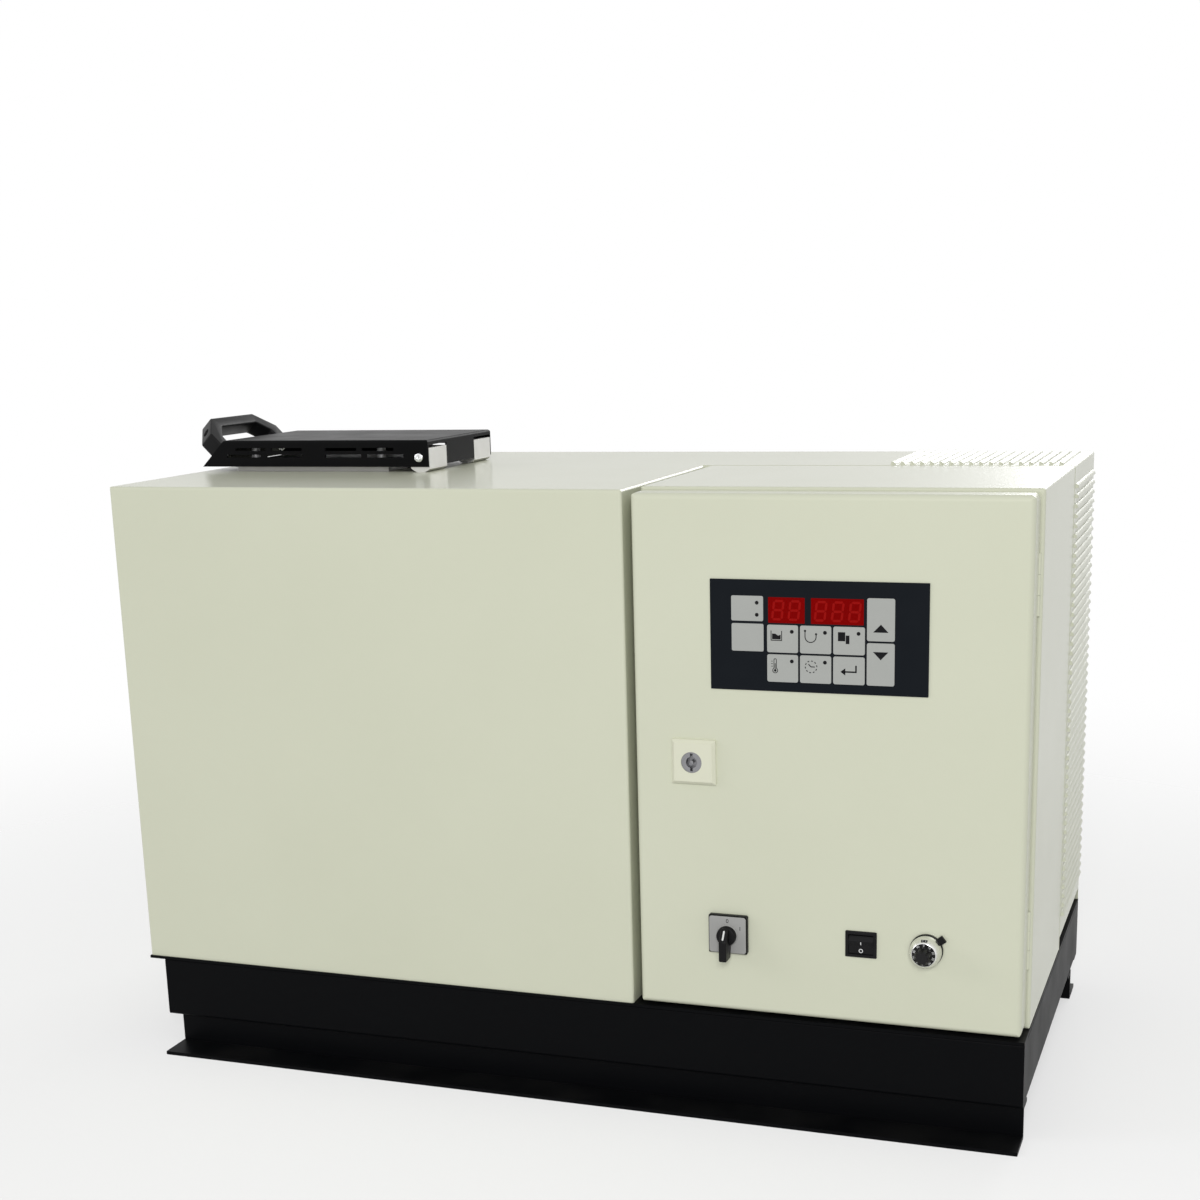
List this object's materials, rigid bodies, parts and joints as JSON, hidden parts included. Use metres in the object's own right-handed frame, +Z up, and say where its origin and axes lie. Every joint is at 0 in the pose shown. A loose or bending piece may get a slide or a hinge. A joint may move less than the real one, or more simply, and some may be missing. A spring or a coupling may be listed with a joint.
{
  "type": "hot melt glue unit",
  "caption": "Floor-standing hot melt glue unit: heated tank with hinged filler lid and geared pump under a sheet hood, beside a control cabinet with a hinged door.",
  "frame": {"origin": "on the floor, at the middle of the unit's footprint", "axes": "+X to the right seen from the control door, +Y to the rear, +Z up"},
  "size_m": [1.021, 0.554, 0.7059],
  "materials": {
    "cream_paint": "textured powder coat, satin",
    "black_frame_paint": "satin powder coat",
    "black_lid_paint": "fine textured powder coat",
    "stainless": "brushed",
    "raw_aluminium": "milled",
    "cast_aluminium": "cast, bead blasted",
    "zinc_steel": "bright zinc plated",
    "machined_steel": "ground",
    "motor_paint": "semi gloss",
    "black_plastic": "moulded, fine texture",
    "cream_plastic": "moulded, satin",
    "zinc_lock": "die cast zinc, satin",
    "dial_silver": "satin",
    "grey_plastic": "glass filled, matt",
    "brass": "turned",
    "seal_foam": "poured foam bead",
    "keypad_film": "satin film",
    "key_film": "satin film"
  },
  "bodies": {
    "housing": {"tank_hood": "cream_paint", "louvre_cover": "cream_paint", "connection_panel": "cream_paint", "cabinet_body": "cream_paint", "door_hinges": "cream_paint", "base_plate": "black_frame_paint", "base_rails": "black_frame_paint", "runners": "black_frame_paint", "motor_bracket": "black_frame_paint", "filler_rim": "stainless", "tank_strainer": "stainless", "hinge_blocks": "raw_aluminium", "tank": "cast_aluminium", "manifold": "cast_aluminium", "lid_pivot_screws": "zinc_steel", "socket_screws": "zinc_steel", "mounting_plate": "zinc_steel", "din_rail": "zinc_steel", "tank_legs": "zinc_steel", "tank_heaters": "machined_steel", "temperature_sensor": "machined_steel", "pump_body": "machined_steel", "pump_cover": "machined_steel", "hose_nipples": "machined_steel", "gearbox": "motor_paint", "motor": "motor_paint", "socket_housings": "grey_plastic", "terminal_blocks": "grey_plastic", "motor_drive": "grey_plastic", "socket_contacts": "brass"},
    "lid": {"lid_cover": "black_lid_paint", "lid_liner": "raw_aluminium", "lid_handle": "black_plastic", "handle_screws": "zinc_steel"},
    "door": {"cabinet_door": "cream_paint", "door_gasket": "seal_foam", "lock_plate": "cream_plastic", "keypad_overlay": "keypad_film", "controller_box": "grey_plastic", "cam_switch": "black_plastic", "rocker_bezel": "black_plastic", "dial_ring": "dial_silver", "potentiometer": "grey_plastic"},
    "mains_switch_knob": {"cam_knob": "black_plastic"},
    "rocker": {"rocker_paddle": "black_plastic"},
    "dial": {"dial_knob": "black_plastic"},
    "dial_lock_ring": {"dial_brake": "black_plastic"},
    "lock": {"lock_barrel": "zinc_lock", "lock_cam": "zinc_steel"},
    "pump_drive": {"pump_drive_gear": "machined_steel", "shaft_coupling": "raw_aluminium"},
    "pump_idler": {"pump_driven_gear": "machined_steel"},
    "key_tank_cap": {"key_tank": "key_film"},
    "key_hose_cap": {"key_hose": "key_film"},
    "key_gun_cap": {"key_gun": "key_film"},
    "key_economy_cap": {"key_economy": "key_film"},
    "key_clock_cap": {"key_clock": "key_film"},
    "key_enter_cap": {"key_enter": "key_film"},
    "key_up_cap": {"key_up": "key_film"},
    "key_down_cap": {"key_down": "key_film"}
  },
  "joints": [
    {"name": "lid_hinge", "type": "hinge", "parent": "housing", "child": "lid", "pos_m": [-0.20566, 0.033, 0.6625], "axis": [0, 1, 0], "range_deg": [0, 100]},
    {"name": "door_hinge", "type": "hinge", "parent": "housing", "child": "door", "pos_m": [0.50284, -0.21, 0.376], "axis": [0, 0, 1], "range_deg": [0, 120]},
    {"name": "lock_turn", "type": "hinge", "parent": "door", "child": "lock", "pos_m": [0.16934, -0.243, 0.374], "axis": [0, 1, 0], "range_deg": [0, 90]},
    {"name": "mains_switch_turn", "type": "hinge", "parent": "door", "child": "mains_switch_knob", "pos_m": [0.20534, -0.243, 0.1945], "axis": [0, 1, 0], "range_deg": [0, 60]},
    {"name": "rocker_tilt", "type": "hinge", "parent": "door", "child": "rocker", "pos_m": [0.34285, -0.237, 0.1945], "axis": [-1, 0, 0], "range_deg": [0, 14]},
    {"name": "dial_turn", "type": "hinge", "parent": "door", "child": "dial", "pos_m": [0.40885, -0.243, 0.1945], "axis": [0, 1, 0], "range_deg": [0, 3600]},
    {"name": "dial_lock_turn", "type": "hinge", "parent": "door", "child": "dial_lock_ring", "pos_m": [0.40885, -0.243, 0.1945], "axis": [0, 1, 0], "range_deg": [0, 20]},
    {"name": "key_tank_press", "type": "slide", "parent": "door", "child": "key_tank_cap", "axis": [0, 1, 0], "range_m": [0, 0.0005], "stiffness_N_per_m": 800},
    {"name": "key_hose_press", "type": "slide", "parent": "door", "child": "key_hose_cap", "axis": [0, 1, 0], "range_m": [0, 0.0005], "stiffness_N_per_m": 800},
    {"name": "key_gun_press", "type": "slide", "parent": "door", "child": "key_gun_cap", "axis": [0, 1, 0], "range_m": [0, 0.0005], "stiffness_N_per_m": 800},
    {"name": "key_economy_press", "type": "slide", "parent": "door", "child": "key_economy_cap", "axis": [0, 1, 0], "range_m": [0, 0.0005], "stiffness_N_per_m": 800},
    {"name": "key_clock_press", "type": "slide", "parent": "door", "child": "key_clock_cap", "axis": [0, 1, 0], "range_m": [0, 0.0005], "stiffness_N_per_m": 800},
    {"name": "key_enter_press", "type": "slide", "parent": "door", "child": "key_enter_cap", "axis": [0, 1, 0], "range_m": [0, 0.0005], "stiffness_N_per_m": 800},
    {"name": "key_up_press", "type": "slide", "parent": "door", "child": "key_up_cap", "axis": [0, 1, 0], "range_m": [0, 0.0005], "stiffness_N_per_m": 800},
    {"name": "key_down_press", "type": "slide", "parent": "door", "child": "key_down_cap", "axis": [0, 1, 0], "range_m": [0, 0.0005], "stiffness_N_per_m": 800},
    {"name": "pump_spin", "type": "hinge", "parent": "housing", "child": "pump_drive", "pos_m": [-0.14266, 0.149, 0.243], "axis": [1, 0, 0], "continuous": true},
    {"name": "pump_idler_spin", "type": "hinge", "parent": "housing", "child": "pump_idler", "pos_m": [-0.14266, 0.149, 0.219], "axis": [1, 0, 0], "continuous": true}
  ],
  "couplings": [
    {"joint": "pump_idler_spin", "follows": "pump_spin", "ratio": -1}
  ]
}
